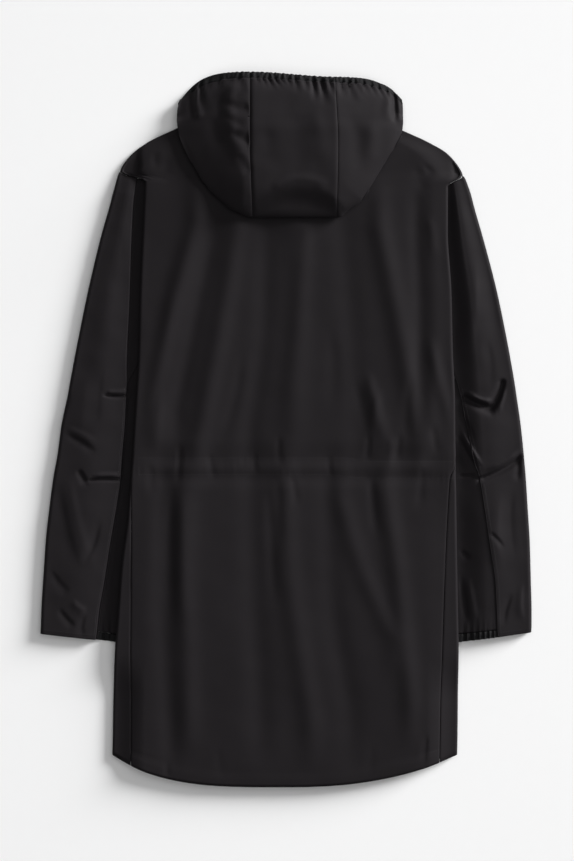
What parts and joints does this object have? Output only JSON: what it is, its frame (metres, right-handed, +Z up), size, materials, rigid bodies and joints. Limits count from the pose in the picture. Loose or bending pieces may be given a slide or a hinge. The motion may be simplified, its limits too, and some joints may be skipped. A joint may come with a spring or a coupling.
{
  "type": "softshell jacket",
  "caption": "Long hooded softshell jacket laid flat on its front, back up, with the hood thrown back, drawn-in waist stitching and elastic cuffs.",
  "frame": {"origin": "centre of the jacket's outline on the surface it lies on", "axes": "+Z up from the surface, +Y towards the hood, +X to the right as the back is seen"},
  "size_m": [0.684, 0.992, 0.04],
  "materials": {
    "softshell": "matt black bonded softshell cloth",
    "elastic": "matt black woven elastic",
    "zip_tape": "matt black woven tape",
    "zip_metal": "satin black paint"
  },
  "bodies": {
    "jacket": {"back": "softshell", "front_left": "softshell", "front_right": "softshell", "sleeve_upper_left": "softshell", "sleeve_upper_right": "softshell", "sleeve_under_left": "softshell", "sleeve_under_right": "softshell", "hood_side_left": "softshell", "hood_side_right": "softshell", "hood_centre": "softshell", "hood_elastic": "elastic", "cuff_elastic_left": "elastic", "cuff_elastic_right": "elastic", "zip_tape_left": "zip_tape", "zip_tape_right": "zip_tape", "zip_slider": "zip_metal"},
    "pull": {"zip_pull": "zip_metal"}
  },
  "joints": [
    {"name": "pull_hinge", "type": "hinge", "parent": "jacket", "child": "pull", "pos_m": [0.00492, 0.438, 0.00165], "axis": [1, 0, 0], "range_deg": [0, 160]}
  ]
}
